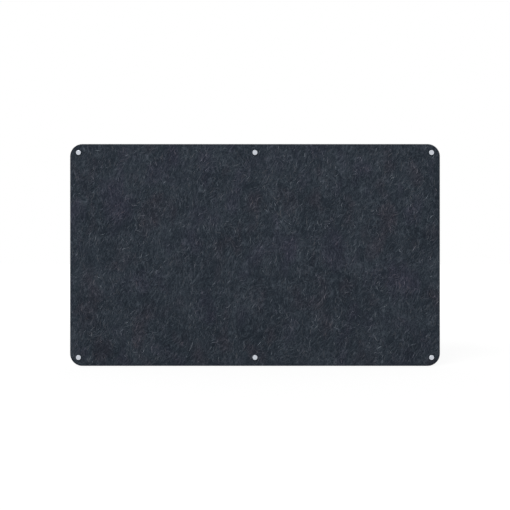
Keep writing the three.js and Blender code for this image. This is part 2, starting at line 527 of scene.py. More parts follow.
@dataclass(frozen=True)
class Streaks:
    """Fibres that lie roughly one way, drawn as noise that is stretched along their heading.

    Attributes:
        length: Length of the noise's cells.
        width: Their width. Lines lie about this far apart.
        heading: Which way they run, in degrees above +X.
        patches: How many patches of broken lines fit in one length.
        fade: The values of the patches' noise at which broken lines begin and are whole.
    """

    length: float
    width: float
    heading: float
    patches: float = 1.7
    fade: tuple[float, float] = (0.48, 0.60)

    def noise(self, tree: Tree, place: Source, detail: float) -> Source:
        """Adds the stretched noise.

        Args:
            tree: The material's nodes.
            place: The coordinates.
            detail: How many finer octaves the noise has.

        Returns:
            The noise, from 0 to 1.
        """
        laid = add_node(tree, "Mapping", {
            "vector_type": "TEXTURE", "Rotation": (0, -math.radians(self.heading), 0),
            "Scale": (self.length, self.width * 2, self.width), "Vector": place,
        })
        return add_node(tree, "TexNoise", {
            "Scale": 1.0, "Detail": detail, "Roughness": 0.7, "Lacunarity": 2.2, "Vector": laid,
        })

    def lines(self, tree: Tree, place: Source, reach: float) -> Source:
        """Adds thin winding lines, wherever the stretched noise is near its middle value.

        Args:
            tree: The material's nodes.
            place: The coordinates.
            reach: How far from the middle value a line ends.

        Returns:
            1 along the middle of a line, falling to 0 beside it.
        """
        noise = self.noise(tree, place, 1.0)
        off = add_node(tree, "Math", {"operation": "SUBTRACT", 0: noise, 1: NOISE_MIDDLE})
        apart = add_node(tree, "Math", {"operation": "ABSOLUTE", 0: off})
        return add_node(tree, "MapRange", {"From Max": reach, "To Min": 1.0, "To Max": 0.0, "Value": apart})

    def broken_lines(self, tree: Tree, place: Source, reach: float) -> Source:
        """Adds winding lines that come and go with a slow noise.

        Args:
            tree: The material's nodes.
            place: The coordinates.
            reach: How far from the middle value a line ends.

        Returns:
            1 along the middle of a line in a patch that has lines, falling to 0 elsewhere.
        """
        line, (begins, whole) = self.lines(tree, place, reach), self.fade
        patch = add_node(tree, "TexNoise", {
            "Scale": self.patches / self.length, "Detail": 1.0, "Vector": place,
        })
        there = add_node(tree, "MapRange", {"From Min": begins, "From Max": whole, "Value": patch})
        return add_node(tree, "Math", {"operation": "MULTIPLY", 0: line, 1: there})


@dataclass(frozen=True)
class PolyesterFibre(Finish):
    """What matted and loose fibre share: hardly any gloss, a trace of sheen, and patches of another hue.

    Attributes:
        roughness: How far the gloss is spread.
        gloss: How strong it is, where 0.5 is a smooth plastic's.
        sheen: The colour of the sheen.
        cast: The patches of another hue.
    """

    roughness: float = 0.95
    gloss: float = 0.06
    sheen: str = "aab4c4"
    cast: PatchyCast = PatchyCast()

    def settings(self) -> Parts:
        """Gathers the settings that are the same all over.

        Returns:
            What those of the shader's inputs get.
        """
        return {
            "Roughness": self.roughness, "IOR": 1.5, "Specular IOR Level": self.gloss,
            "Sheen Weight": 0.05, "Sheen Roughness": 0.5, "Sheen Tint": linear(self.sheen),
        }


@dataclass(frozen=True)
class PressedFelt(PolyesterFibre):
    """Needle-punched polyester felt, pressed into a rigid board: a matt, heathered surface of matted
    fibres, which shows short light streaks over a dark ground and drifts a little in hue.

    Its patterns add up to a level, which sets colour and relief alike: where it is low the felt sinks and
    turns darker, partly the gaps' own dark and partly painted shade. A real fibre is a fiftieth of a line's
    width. The layers are drawn as coarse as the tufts that a viewer sees from a step away.

    Attributes:
        gap_and_shade: The colour between the fibres, which is their own dark and painted shade in the hollows
            there.
        ground: The colour of matted fibre.
        fibre: The colour of fibres that lie on top.
        stops: The levels at which these three colours are reached.
        level: The level where every noise is at its middle and there are no lines.
        bends: Size and reach of each noise that bends the layers, the slow one first.
        mottle: Size and weight of the finest mottling.
        clump: Size and weight of the patches where fibres lie thick.
        matted: The layers of matted fibre.
        matted_weight: How much each of them adds.
        lines: The layers of single fibres.
        line_weight: How much each of them adds.
        line_reach: How wide its lines are, as a span of the noise.
        hairs: The layers of the finest fibres, which show only from nearby.
        hair_weight: How much each of them adds.
        hair_reach: How wide its lines are, as a span of the noise.
        ply: Size along each axis of the layers that show on the cut edge.
        ply_levels: The darkest and the lightest level there.
        relief: Height of the felt's relief.
    """

    name: str = "needle_punched_felt"
    gap_and_shade: str = "191e25"
    ground: str = "282f37"
    fibre: str = "4d545c"
    stops: tuple[float, float, float] = (-0.1, 0.4, 1.25)
    level: float = 0.30
    bends: tuple[tuple[float, float], ...] = ((130 * MM, 85 * MM), (34 * MM, 14 * MM))
    mottle: tuple[float, float] = (5 * MM, 0.95)
    clump: tuple[float, float] = (140 * MM, 0.48)
    matted: tuple[Streaks, ...] = (
        Streaks(28 * MM, 4.0 * MM, 68), Streaks(22 * MM, 3.6 * MM, 54), Streaks(22 * MM, 3.8 * MM, 84),
    )
    matted_weight: float = 0.7
    lines: tuple[Streaks, ...] = (
        Streaks(64 * MM, 14 * MM, 70), Streaks(50 * MM, 12 * MM, 50),
        Streaks(54 * MM, 13 * MM, 88), Streaks(44 * MM, 13 * MM, 62),
    )
    line_weight: float = 0.55
    line_reach: float = 0.032
    hairs: tuple[Streaks, ...] = (
        Streaks(13 * MM, 2.4 * MM, 74), Streaks(11 * MM, 2.1 * MM, 22), Streaks(11 * MM, 2.2 * MM, 126),
    )
    hair_weight: float = 0.20
    hair_reach: float = 0.05
    ply: tuple[float, float, float] = (14 * MM, 0.9 * MM, 14 * MM)
    ply_levels: tuple[float, float] = (-0.1, 0.85)
    relief: float = 0.5 * MM

    def bent(self, tree: Tree, place: Source) -> Source:
        """Bends the coordinates by each noise in turn, so that fibres flow and curl.

        Args:
            tree: The material's nodes.
            place: The coordinates.

        Returns:
            The coordinates plus each noise's offset from its middle value, times its reach.
        """
        bent = place
        for size, reach in self.bends:
            noise = add_node(tree, "TexNoise", {"Scale": 1 / size, "Detail": 0.0, "Vector": place})
            off = add_node(tree, "VectorMath", {
                "operation": "SUBTRACT", 0: noise.outputs["Color"], 1: (NOISE_MIDDLE,) * 3,
            })
            bent = add_node(tree, "VectorMath", {
                "operation": "MULTIPLY_ADD", 0: off, 1: (reach,) * 3, 2: bent,
            })
        return bent

    def face_level(self, tree: Tree, place: Source) -> Source:
        """Adds up the patterns of the faces: matted fibre, mottle, clumps, single fibres and hairs.

        Args:
            tree: The material's nodes.
            place: The coordinates.

        Returns:
            The level.
        """
        bent = self.bent(tree, place)
        (mottle_size, mottle_weight), (clump_size, clump_weight) = self.mottle, self.clump
        mottle = add_node(tree, "TexNoise", {
            "Scale": 1 / mottle_size, "Detail": 2.0, "Roughness": 0.7, "Vector": place,
        })
        clump = add_node(tree, "TexNoise", {
            "Scale": 1 / clump_size, "Detail": 1.0, "Roughness": 0.6, "Vector": bent,
        })
        matted = [(self.matted_weight, layer.noise(tree, bent, 2.0)) for layer in self.matted]
        noises = [*matted, (mottle_weight, mottle), (clump_weight, clump)]
        lines = [(self.line_weight, layer.broken_lines(tree, bent, self.line_reach)) for layer in self.lines]
        hairs = [(self.hair_weight, layer.lines(tree, bent, self.hair_reach)) for layer in self.hairs]
        middle = NOISE_MIDDLE * sum(weight for weight, _ in noises)
        return weighted_sum(tree, [*noises, *lines, *hairs], self.level - middle)

    def edge_level(self, tree: Tree, place: Source) -> Source:
        """Adds the pattern of the cut edge: pressed layers, which are thin across the board's depth.

        Args:
            tree: The material's nodes.
            place: The coordinates.

        Returns:
            The level.
        """
        low, high = self.ply_levels
        laid = add_node(tree, "Mapping", {"vector_type": "TEXTURE", "Scale": self.ply, "Vector": place})
        plies = add_node(tree, "TexNoise", {"Scale": 1.0, "Detail": 3.0, "Roughness": 0.7, "Vector": laid})
        return add_node(tree, "MapRange", {**NOISE_RANGE, "To Min": low, "To Max": high, "Value": plies})

    def surface(self, tree: Tree, place: Source) -> Parts:
        """Turns the level into colour and relief.

        Args:
            tree: The material's nodes.
            place: The coordinates.

        Returns:
            What the shader's inputs get.
        """
        is_edge = add_node(tree, "Attribute", {"attribute_name": CUT_EDGE}).outputs["Fac"]
        face, edge = self.face_level(tree, place), self.edge_level(tree, place)
        level = add_node(tree, "Mix", {"data_type": "FLOAT", "Factor": is_edge, "A": face, "B": edge})
        all_gap_and_shade, all_ground, all_fibre = self.stops
        deep = add_node(tree, "MapRange", {"From Min": all_gap_and_shade, "From Max": all_ground, "Value": level})
        high = add_node(tree, "MapRange", {"From Min": all_ground, "From Max": all_fibre, "Value": level})
        # below the ground's level the colour darkens to the gap colour: the gaps' own dark, and painted shade
        # in the hollows that the same level sinks in the relief
        dark = add_node(tree, "Mix", {
            "data_type": "RGBA", "Factor": deep, MIX_FIRST: linear(self.gap_and_shade), MIX_SECOND: linear(self.ground),
        })
        full = add_node(tree, "Mix", {
            "data_type": "RGBA", "Factor": high,
            MIX_FIRST: dark.outputs[MIX_RESULT], MIX_SECOND: linear(self.fibre),
        })
        bump = add_node(tree, "Bump", {"Strength": 0.5, "Distance": self.relief, "Height": level})
        colour = self.cast.over(tree, place, full.outputs[MIX_RESULT])
        return {**self.settings(), "Base Color": colour, "Normal": bump}


@dataclass(frozen=True)
class LooseFibre(PolyesterFibre):
    """The same polyester fibre where bundles of it lie loose on the felt's face: matt, each bundle in its
    own tone, which its points carry as a colour.

    Attributes:
        grain: Size of the light and dark along a bundle.
        shade: What its colour is multiplied by, at the darkest and the lightest.
    """

    name: str = "loose_polyester_fibre"
    roughness: float = 0.9
    gloss: float = 0.08
    grain: float = 1.5 * MM
    shade: tuple[float, float] = (0.8, 1.2)

    def surface(self, tree: Tree, place: Source) -> Parts:
        """Varies the bundle's own colour along it.

        Args:
            tree: The material's nodes.
            place: The coordinates.

        Returns:
            What the shader's inputs get.
        """
        low, high = self.shade
        own = add_node(tree, "Attribute", {"attribute_name": FIBRE_COLOUR})
        grain = add_node(tree, "TexNoise", {"Scale": 1 / self.grain, "Detail": 1.0, "Vector": place})
        shade = add_node(tree, "MapRange", {**NOISE_RANGE, "To Min": low, "To Max": high, "Value": grain})
        colour = add_node(tree, "VectorMath", {"operation": "SCALE", 0: own, "Scale": shade})
        return {**self.settings(), "Base Color": self.cast.over(tree, place, colour)}


@dataclass(frozen=True)
class HardFinish(Finish):
    """What the finishes of metal, rubber and nylon share: a colour that drifts between two tones, gloss
    that varies a little, and a fine relief.

    Attributes:
        colour: The main tone.
        drift: The tone that it drifts to.
        roughness: How far the gloss is spread.
        variation: The share of itself by which the roughness varies either way.
        relief: How strongly the relief shows.
        depth: The relief's height.
        cloud: Size of the patches of tone.
    """

    colour: str
    drift: str
    roughness: float
    variation: float = 0.15
    relief: float = 0.35
    depth: float = 0.012 * MM
    cloud: float = 6 * MM

    def fed(self, tree: Tree, tone: Source, gloss: Source, height: Source) -> Parts:
        """Turns three patterns into colour, roughness and relief.

        Args:
            tree: The material's nodes.
            tone: How far the colour has drifted.
            gloss: The noise that the roughness follows.
            height: The relief.

        Returns:
            What the shader's inputs get.
        """
        tint = add_node(tree, "Mix", {
            "data_type": "RGBA", "Factor": tone,
            MIX_FIRST: linear(self.colour), MIX_SECOND: linear(self.drift),
        })
        low, high = [self.roughness * (1 + share) for share in (-self.variation, self.variation)]
        spread = add_node(tree, "MapRange", {**NOISE_RANGE, "To Min": low, "To Max": high, "Value": gloss})
        bump = add_node(tree, "Bump", {"Strength": self.relief, "Distance": self.depth, "Height": height})
        return {"Base Color": tint.outputs[MIX_RESULT], "Roughness": spread, "Normal": bump}


@dataclass(frozen=True)
class TurnedMetal(HardFinish):
    """Metal turned on a lathe and then coated. The tool leaves fine rings, which spread the gloss.

    Attributes:
        ring_pitch: Spacing of the tool's rings. Real ones are a tenth of this and would not show.
    """

    ring_pitch: float = 0.5 * MM

    def surface(self, tree: Tree, place: Source) -> Parts:
        """Adds rings along the profile, and clouds in the coating.

        Args:
            tree: The material's nodes.
            place: The coordinates.

        Returns:
            What the shader's inputs get.
        """
        along = add_node(tree, "Attribute", {"attribute_name": PROFILE_LENGTH}).outputs["Fac"]
        turns = add_node(tree, "Math", {"operation": "MULTIPLY", 0: along, 1: TURN / self.ring_pitch})
        rings = add_node(tree, "Math", {"operation": "SINE", 0: turns})
        cloud = add_node(tree, "TexNoise", {"Scale": 1 / self.cloud, "Detail": 3.0, "Vector": place})
        return {"Metallic": 1.0, **self.fed(tree, cloud, cloud, rings)}


@dataclass(frozen=True)
class MouldedPolymer(HardFinish):
    """A rubber or plastic that took the fine grain of its mould, so it is even and nearly matt.

    Attributes:
        grain: Size of the mould's grain. It is drawn at this size so that it shows at all.
    """

    variation: float = 0.10
    relief: float = 0.3
    depth: float = 0.03 * MM
    cloud: float = 4.8 * MM
    grain: float = 0.6 * MM

    def surface(self, tree: Tree, place: Source) -> Parts:
        """Adds the mould's grain, and a faint mottle in the colour.

        Args:
            tree: The material's nodes.
            place: The coordinates.

        Returns:
            What the shader's inputs get.
        """
        grain, mottle = [
            add_node(tree, "TexNoise", {"Scale": 1 / size, "Detail": 2.0, "Vector": place})
            for size in (self.grain, self.cloud)
        ]
        return {"IOR": 1.5, **self.fed(tree, mottle, grain, grain)}


@dataclass(frozen=True)
class FeltPanel:
    """The felt board: two gently uneven faces, a rounded cut edge all round, and six holes.

    Attributes:
        surface: Where the two faces lie.
        hole: Radius of the holes for the studs.
        softening: Radius of the rounding along every cut edge.
        softening_steps: How many stretches that rounding has.
        cell: Spacing of the grid over the faces.
        hole_reach: Half the square round each hole whose grid turns into rings.
        hole_rings: How many rings lie between that square and the hole.
    """

    surface: FeltSurface
    hole: float = 6 * MM
    softening: float = 1.0 * MM
    softening_steps: int = 4
    cell: float = 6.25 * MM
    hole_reach: float = 15 * MM
    hole_rings: int = 9

    def grid_lines(self, half: float) -> np.ndarray:
        """Spaces grid lines evenly over each corner and over the stretch between.

        Args:
            half: Half the board's size that way.

        Returns:
            The lines' places.
        """
        corner, reach = self.surface.corner - self.softening, half - self.softening
        corner_cells = round(corner / self.cell)
        straight_cells = round(2 * (reach - corner) / self.cell)
        return np.concatenate([
            np.linspace(-reach, corner - reach, corner_cells, endpoint=False),
            np.linspace(corner - reach, reach - corner, straight_cells, endpoint=False),
            np.linspace(reach - corner, reach, corner_cells + 1),
        ])

    def rounded(self, places: np.ndarray) -> np.ndarray:
        """Bends the four corner squares of the grid into quarter discs. With s and t as the place in a
        square from its inner corner, from 0 to 1, the place in the disc is s times the root of
        (1 - t^2 / 2), and t times the root of (1 - s^2 / 2).

        Args:
            places: Rows of x and z on the square-cornered grid.

        Returns:
            The same on the round-cornered grid.
        """
        corner, core = self.surface.corner - self.softening, self.surface.core
        share = np.maximum(np.abs(places) - core, 0) / corner
        bent = np.sign(places) * (core + corner * share * np.sqrt(1 - share[..., ::-1] ** 2 / 2))
        return np.where(share > 0, bent, places)

    def plan(self) -> tuple[np.ndarray, np.ndarray, list[tuple[np.ndarray, np.ndarray]]]:
        """Works out the plan that both faces share: a grid with round corners, in which a square round
        each hole gives way to rings that shrink from the square's edge to the hole's circle.

        Returns:
            The points as rows of x and z, the faces as seen from the front, and the rims of the outline
            and the holes. A rim is its points' numbers, in the order that has the felt on the right, and
            the direction from each of them to the cut edge.
        """
        lines = [self.grid_lines(half) for half in self.surface.span.half]
        grid = self.rounded(np.stack(np.meshgrid(*lines), -1))
        numbers, grid = numbered(grid), grid.reshape(-1, 2)
        cells = np.stack([numbers[:-1, :-1], numbers[:-1, 1:], numbers[1:, 1:], numbers[1:, :-1]], -1)
        keep = np.ones(cells.shape[:2], bool)
        core, outline = self.surface.core, block_edge(numbers)[::-1]
        rims = [(outline, unit(grid[outline] - np.clip(grid[outline], -core, core)))]
        shares = np.linspace(0, 1, self.hole_rings + 1)[1:, None, None]

        points, ring_faces, count = [grid], [], len(grid)
        for centre in self.surface.fixings:
            columns, rows = [
                np.flatnonzero(np.abs(places - middle) <= self.hole_reach)
                for places, middle in zip(lines, centre)
            ]
            keep[np.ix_(rows[:-1], columns[:-1])] = False
            square = block_edge(numbers[np.ix_(rows, columns)])
            heading = unit(grid[square] - centre)
            circle = centre + (self.hole + self.softening) * heading
            rings = grid[square] + (circle - grid[square]) * shares
            ring_numbers = numbered(rings, count)
            points.append(rings.reshape(-1, 2))
            ring_faces.append(bands(np.vstack([square, ring_numbers])))
            rims.append((ring_numbers[-1], -heading))
            count += ring_numbers.size
        return np.vstack(points), np.vstack([cells[keep], *ring_faces]), rims

    def edge_section(self) -> tuple[np.ndarray, np.ndarray]:
        """Works out a cut edge's section from front to back: a quarter circle, a flat and a second
        quarter circle.

        Returns:
            How far past the face's rim each step lies, and how far out from the wall.
        """
        angle = np.linspace(0, TURN / 4, self.softening_steps + 1)
        past = np.concatenate([np.sin(angle[1:]), np.cos(angle[:-1])]) * self.softening
        out = np.concatenate([
            self.surface.span.front - (1 - np.cos(angle[1:])) * self.softening,
            self.surface.span.back + (1 - np.sin(angle[:-1])) * self.softening,
        ])
        return past, out

    def shape(self) -> Shape:
        """Works out the panel as one closed surface: the plan twice, as the two faces, and along each
        rim the cut edge from one to the other.

        Returns:
            The surface, with a value of 1 at the points on cut edges.
        """
        plane, plan_faces, rims = self.plan()
        points = [placed(plane, self.surface.out(plane, side)) for side in Side]
        faces = [plan_faces, plan_faces[:, ::-1] + len(plane)]
        count = 2 * len(plane)
        past, out = self.edge_section()
        for rim, heading in rims:
            wall = placed(plane[rim] + heading * past[:, None, None], out[:, None])
            numbers = numbered(wall, count)
            points.append(wall.reshape(-1, 3))
            faces.append(bands(np.vstack([rim, numbers, rim + len(plane)])))
            count += numbers.size
        on_edge = np.arange(count) >= 2 * len(plane)
        return Shape(np.vstack(points), faces, {CUT_EDGE: on_edge}).without_loose_points()


@dataclass(frozen=True)
class FibreSizes:
    """Sizes of fibres, drawn between two limits by a beta distribution that favours small ones.

    Attributes:
        low: The smallest.
        high: The largest.
        beta: The distribution's two numbers.
    """

    low: float
    high: float
    beta: tuple[float, float]

    def drawn(self, draw: np.random.Generator, count: int) -> np.ndarray:
        """Returns that many sizes."""
        return self.low + (self.high - self.low) * draw.beta(*self.beta, count)


def drawn_tones(draw: np.random.Generator, tones: tuple[str, ...], count: int) -> np.ndarray:
    """Returns one of the hex colours for each of that many fibres, as rows of linear numbers."""
    return np.array([linear(code) for code in tones])[draw.integers(0, len(tones), count)]


def joined(points: np.ndarray, colours: np.ndarray, form: list[np.ndarray]) -> Shape:
    """Makes one surface of many fibres that all have the same faces.

    Args:
        points: Points by fibre.
        colours: Linear colours by fibre and point.
        form: One fibre's faces.

    Returns:
        The surface, with each point's colour.
    """
    first = np.arange(len(points))[:, None, None] * points.shape[1]
    faces = [(block + first).reshape(-1, block.shape[1]) for block in form]
    return Shape(points.reshape(-1, 3), faces, {FIBRE_COLOUR: colours.reshape(-1, 4)}).faced_outwards()


@dataclass(frozen=True)
class LooseFibres:
    """Bundles of fibre that lie on one face of the felt, each a thin raised streak with sunk ends.

    Attributes:
        surface: Where the face lies.
        side: Which face they lie on.
        seed: Fixes every draw.
        count: How many are drawn, before those off the face, at a washer or off the patches are dropped.
        heading: Their mean heading at the board's middle, in degrees above +X.
        drift: How much that changes from the middle to the right edge.
        flow: How far the heading of all of them wanders from place to place, in degrees.
        flow_size: The wandering's shortest and longest wavelength.
        spread: How far single headings scatter, in degrees.
        strays: The share of bundles that scatter more, and how many times more.
        turn: The spread of each one's turn from end to end, in radians.
        wave: The spread of the wave in each one's heading, in radians.
        length: Their lengths.
        width: Their widths.
        patch: Shortest and longest wavelength of the patches that they gather in.
        kept: The share that stays where the patches are at their middle, and how much it rises with them.
        clear_of_washer: How far they keep from a fixing's centre line.
        clear_of_edge: How far they keep from the cut edge.
        rise: How far the widest bundle's ridge stands above the face.
        sunk: How far its two lower edges lie below.
        thin_rise: The share of both that a bundle of no width would have.
        stations: Points along each one.
        ground: The colour that they fade to at their ends.
        tones: The colours of plain bundles.
        bright: The colour of the brightest.
        tone: The gamma distribution's two numbers for how far a bundle is from ground to its tone.
        bright_from: How far it is when it starts to turn bright.
        flank: How much of its colour a bundle shows along its lower edges.
    """

    surface: FeltSurface
    side: Side
    seed: int
    count: int = 12600
    heading: float = 72.0
    drift: float = -6.0
    flow: float = 20.0
    flow_size: tuple[float, float] = (110 * MM, 300 * MM)
    spread: float = 21.0
    strays: tuple[float, float] = (0.14, 3.0)
    turn: float = 0.9
    wave: float = 0.35
    length: FibreSizes = FibreSizes(12 * MM, 46 * MM, (1.6, 3.2))
    width: FibreSizes = FibreSizes(0.7 * MM, 2.1 * MM, (1.5, 3.5))
    patch: tuple[float, float] = (70 * MM, 260 * MM)
    kept: tuple[float, float] = (0.6, 0.3)
    clear_of_washer: float = 10.6 * MM
    clear_of_edge: float = 2.5 * MM
    rise: float = 0.24 * MM
    sunk: float = 0.06 * MM
    thin_rise: float = 0.6
    stations: int = 6
    ground: str = "31373f"
    tones: tuple[str, ...] = ("727a84", "7a828b", "757482", "777577")
    bright: str = "aeb6be"
    tone: tuple[float, float] = (1.6, 0.22)
    bright_from: float = 0.75
    flank: float = 0.75

    def centre_lines(self, draw: np.random.Generator) -> tuple[np.ndarray, np.ndarray]:
        """Draws the bundles and runs each one's line: its heading turns evenly from end to end, plus one
        wave, and the line adds up the steps along that heading.

        Args:
            draw: The generator.

        Returns:
            The x and z of each bundle's stations, and the headings there.
        """
        half = self.surface.span.half
        start = draw.uniform(-1, 1, (self.count, 2)) * half
        flow = self.flow * Undulation(self.seed + 2, *self.flow_size).at(start)
        mean = np.radians(self.heading + self.drift * start[:, 0] / half[0] + flow)
        stray_share, stray_spread = self.strays
        scatter = np.where(draw.random(self.count) < stray_share, stray_spread, 1.0) * np.radians(self.spread)
        angle = mean + draw.normal(0, 1, self.count) * scatter
        length = self.length.drawn(draw, self.count)
        turn = draw.normal(0, self.turn, self.count)[:, None]
        wave = draw.normal(0, self.wave, self.count)[:, None]
        phase = draw.uniform(0, TURN, self.count)[:, None]

        share = np.linspace(0, 1, self.stations)
        along = angle[:, None] + turn * (share - 0.5) + wave * np.sin(TURN * share + phase)
        step = length[:, None, None] / (self.stations - 1) * towards(along)
        travelled = np.cumsum((step[:, 1:] + step[:, :-1]) / 2, axis=1)
        line = start[:, None] + np.concatenate([np.zeros((self.count, 1, 2)), travelled], 1)

        kept_share, patch_share = self.kept
        patches = Undulation(self.seed + 1, *self.patch).at(start)
        kept = draw.random(self.count) < kept_share + patch_share * patches
        kept &= (self.surface.inside(line) > self.clear_of_edge).all(1)
        kept &= (self.surface.from_fixing(line) > self.clear_of_washer).all(1)
        return line[kept], along[kept]

    def colours(self, draw: np.random.Generator, bundles: int, swell: np.ndarray) -> np.ndarray:
        """Draws each bundle's colour, which fades towards its ends and along its lower edges.

        Args:
            draw: The generator.
            bundles: How many there are.
            swell: How full a bundle is at each station, from 0 to 1.

        Returns:
            Linear colours by bundle, station and corner.
        """
        tone = draw.gamma(*self.tone, bundles)[:, None]
        tones = drawn_tones(draw, self.tones, bundles)
        ground, bright = np.array(linear(self.ground)), np.array(linear(self.bright))
        body = ground + (tones - ground) * np.minimum(tone, 1)
        body = body + (bright - body) * np.clip(tone - self.bright_from, 0, 1)
        shown = np.multiply.outer(swell ** 2, (self.flank, 1.0, self.flank))[..., None]
        return ground + (body[:, None, None] - ground) * shown

    def shape(self) -> Shape:
        """Works out all the bundles: at each inner station a triangle of two sunk edges and a raised
        ridge, whose width and height follow the root of a half sine, and a point at each end.

        Returns:
            The surface, with each point's colour.
        """
        draw = np.random.default_rng(self.seed)
        line, along = self.centre_lines(draw)
        swell = np.sqrt(np.sin(math.pi * np.linspace(0, 1, self.stations)))
        width = self.width.drawn(draw, len(line))[:, None]
        across = towards(along + TURN / 4) * (width * swell / 2)[..., None]
        corners = np.stack([line - across, line, line + across], 2)
        lower = np.full(swell.shape, -self.sunk)
        lift = np.stack([lower, self.rise * swell, lower], -1)
        lift = lift * (self.thin_rise + (1 - self.thin_rise) * width[..., None] / self.width.high)
        points = placed(corners, self.surface.out(corners, self.side) - self.side.value * lift)
        colours = self.colours(draw, len(line), swell)

        # all three corners of the inner stations, and then the ridge at either end
        last = 3 * (self.stations - 1)
        order = [*range(3, last), 1, last + 1]
        rings = np.arange(last - 3).reshape(-1, 3)
        tips = np.vstack([fan(rings[0, ::-1], last - 3), fan(rings[-1], last - 2)])
        points, colours = [rows.reshape(len(line), last + 3, -1)[:, order] for rows in (points, colours)]
        return joined(points, colours, [bands(rings), tips])


@dataclass(frozen=True)
class EdgeFuzz:
    """Short cut fibres that stand out of the board's cut edge all round.

    Attributes:
        surface: The felt's faces and outline.
        seed: Fixes every draw.
        count: How many there are.
        clear_of_face: How far they keep from the two faces.
        length: Their lengths.
        lean: How far a fibre's root leans out of square, against a length of 1.
        straight: How much its tip is drawn back to square.
        bend: How far its tip bends at random.
        radius: Half its width at the root.
        waist: The share of that halfway along.
        sunk: How far its root lies inside the felt.
        tones: The colours.
    """

    surface: FeltSurface
    seed: int = 77
    count: int = 4200
    clear_of_face: float = 1.2 * MM
    length: FibreSizes = FibreSizes(0.5 * MM, 1.8 * MM, (1.3, 3.0))
    lean: float = 0.7
    straight: float = 0.4
    bend: float = 0.9
    radius: float = 0.07 * MM
    waist: float = 0.7
    sunk: float = 0.1 * MM
    tones: tuple[str, ...] = ("3a4149", "4a5159", "646b73")

    def outline(self, travel: np.ndarray) -> tuple[np.ndarray, np.ndarray]:
        """Walks along the board's outline: four straight sides, each followed by a quarter circle.

        Args:
            travel: Distances along it, as shares of its whole length.

        Returns:
            The places and the outward directions there, as rows of x and z.
        """
        corner, core = self.surface.corner, self.surface.core
        sides = 2 * core[[1, 0, 1, 0]]
        starts = np.concatenate([[0], np.cumsum(sides + corner * TURN / 4)])
        at = travel * starts[-1]
        side = np.clip(np.searchsorted(starts, at, side="right") - 1, 0, 3)
        past = at - starts[side]
        outward = towards(side * TURN / 4 + np.maximum(past - sides[side], 0) / corner)
        # each side runs anticlockwise between two corner centres
        signs = np.array([(1, -1), (1, 1), (-1, 1), (-1, -1)])
        first, last = signs[side] * core, signs[(side + 1) % 4] * core
        share = np.minimum(past / sides[side], 1)[:, None]
        return first + (last - first) * share + corner * outward, outward

    def shape(self) -> Shape:
        """Works out all the fibres: a triangle at the root, a smaller one halfway and a point, along a
        line that leans and bends at random.

        Returns:
            The surface, with each point's colour.
        """
        draw = np.random.default_rng(self.seed)
        place, outward = self.outline(draw.random(self.count))
        span = self.surface.span
        lowest, highest = span.back + self.clear_of_face, span.front - self.clear_of_face
        root, normal = placed(place, draw.uniform(lowest, highest, self.count)), placed(outward, 0.0)
        length = self.length.drawn(draw, self.count)[:, None]
        lean = unit(normal + draw.normal(0, self.lean, root.shape))
        bend = normal * self.straight + draw.normal(0, self.bend, root.shape)
        middle = root + lean * length / 2
        tip = middle + unit(lean + bend) * length / 2
        aside = unit(np.cross(lean, draw.normal(0, 1, root.shape)))
        across = np.cross(lean, aside)
        circle = np.stack([aside, across], 1)
        circle = np.einsum("ka,nai->nki", towards(np.arange(3) * TURN / 3), circle) * self.radius
        base = (root - normal * self.sunk)[:, None]
        points = np.concatenate([base + circle, middle[:, None] + circle * self.waist, tip[:, None]], 1)
        colours = np.repeat(drawn_tones(draw, self.tones, self.count), points.shape[1], 0)

        # points 0 to 2 are the root's triangle, 3 to 5 the one halfway, and 6 is the tip
        rings = np.arange(6).reshape(2, 3)
        ends = np.vstack([rings[0, ::-1], fan(rings[1], 6)])
        return joined(points, colours, [bands(rings), ends])


@dataclass(frozen=True)
class FeltBoard:
    """The felt board with all that clings to it: the panel, loose fibre on both faces, and fuzz.

    Attributes:
        surface: Where its two faces lie.
        layers: How many layers of loose fibre lie on each face.
        seed: Fixes the first layer's draws, less 1 for the front and plus 1 for the back.
        layer_seed: What each further layer adds to that.
    """

    surface: FeltSurface
    layers: int = 2
    seed: int = 40
    layer_seed: int = 10

    def build(self) -> None:
        """Makes and dresses the panel, the loose fibre and the fuzz."""
        panel = FeltPanel(self.surface).shape()
        add_piece("pressed_felt_board", panel, PressedFelt().material(), BOARD_BODY, FELT_NODE)
        loose = LooseFibre().material()
        for side in Side:
            for layer in range(self.layers):
                name = f"felt_fibres_{side.name.lower()}_{layer + 1}"
                seed = self.seed + self.layer_seed * layer + side.value
                fibres = LooseFibres(self.surface, side, seed).shape()
                add_piece(name, fibres, loose, BOARD_BODY)
        add_piece("felt_edge_fuzz", EdgeFuzz(self.surface).shape(), loose, BOARD_BODY)


